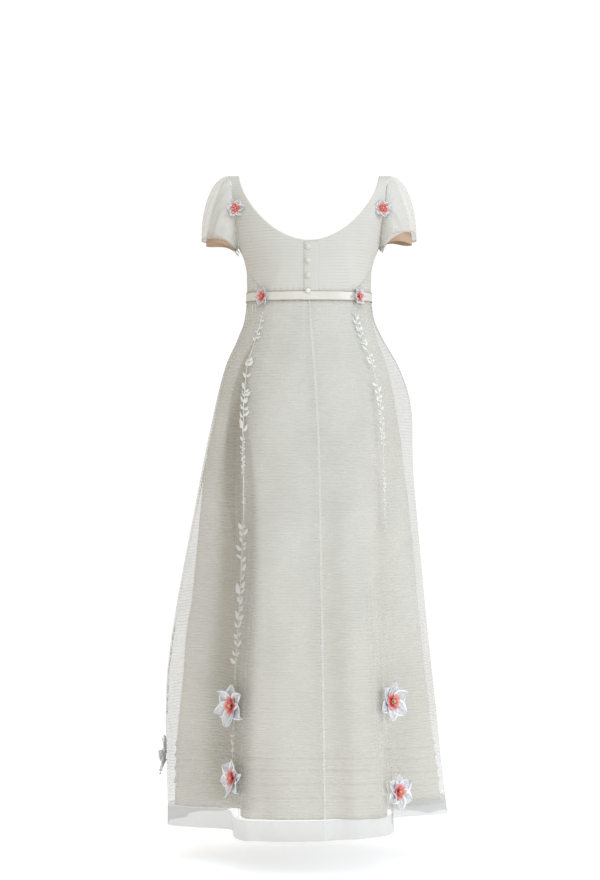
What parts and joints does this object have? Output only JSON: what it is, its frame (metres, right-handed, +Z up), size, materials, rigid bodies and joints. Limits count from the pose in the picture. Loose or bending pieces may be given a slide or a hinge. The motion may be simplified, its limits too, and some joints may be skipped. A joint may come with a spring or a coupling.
{
  "type": "regency gown",
  "caption": "High-waisted empire gown in sheer crinkled organza over ivory lining, with puffed sleeves, satin ribbon, leaf trims and cloth flowers.",
  "frame": {"origin": "midway between the tops of the two shoulder straps, where the wearer's shoulders carry the gown", "axes": "+Z up, the gown's front faces -Y, the wearer's left is +X"},
  "size_m": [0.6054, 0.4922, 1.3611],
  "materials": {
    "organza": "sheer ivory organza with fine crosswise crinkled stripes",
    "lining": "matt ivory lining cloth",
    "satin": "ivory satin with a soft sheen",
    "petal": "white organza petals and leaf applique",
    "coral": "coral red cloth flower",
    "pearl": "pearl bead"
  },
  "bodies": {
    "root": {"bodice_front": "organza", "bodice_back_left": "organza", "bodice_back_right": "organza", "back_placket": "organza", "sleeve_left": "organza", "sleeve_right": "organza", "overlay_back_left": "organza", "overlay_side_left": "organza", "overlay_front": "organza", "overlay_side_right": "organza", "overlay_back_right": "organza", "button_1": "organza", "button_2": "organza", "button_3": "organza", "lining_front": "lining", "lining_back_left": "lining", "lining_back_right": "lining", "sleeve_lining_left": "lining", "sleeve_lining_right": "lining", "waist_ribbon": "satin", "neck_binding": "satin", "vine_back_left": "petal", "vine_back_right": "petal", "vine_side_left": "petal", "vine_side_right": "petal", "shoulder_flower_left_petals": "petal", "shoulder_flower_right_petals": "petal", "belt_flower_left_petals": "petal", "belt_flower_right_petals": "petal", "hem_flower_1_petals": "petal", "hem_flower_2_petals": "petal", "hem_flower_3_petals": "petal", "hem_flower_4_petals": "petal", "hem_flower_5_petals": "petal", "hem_flower_6_petals": "petal", "shoulder_flower_left_centre": "coral", "shoulder_flower_right_centre": "coral", "belt_flower_left_centre": "coral", "belt_flower_right_centre": "coral", "hem_flower_1_centre": "coral", "hem_flower_2_centre": "coral", "hem_flower_3_centre": "coral", "hem_flower_4_centre": "coral", "hem_flower_5_centre": "coral", "hem_flower_6_centre": "coral", "pearl_button": "pearl"}
  },
  "joints": []
}
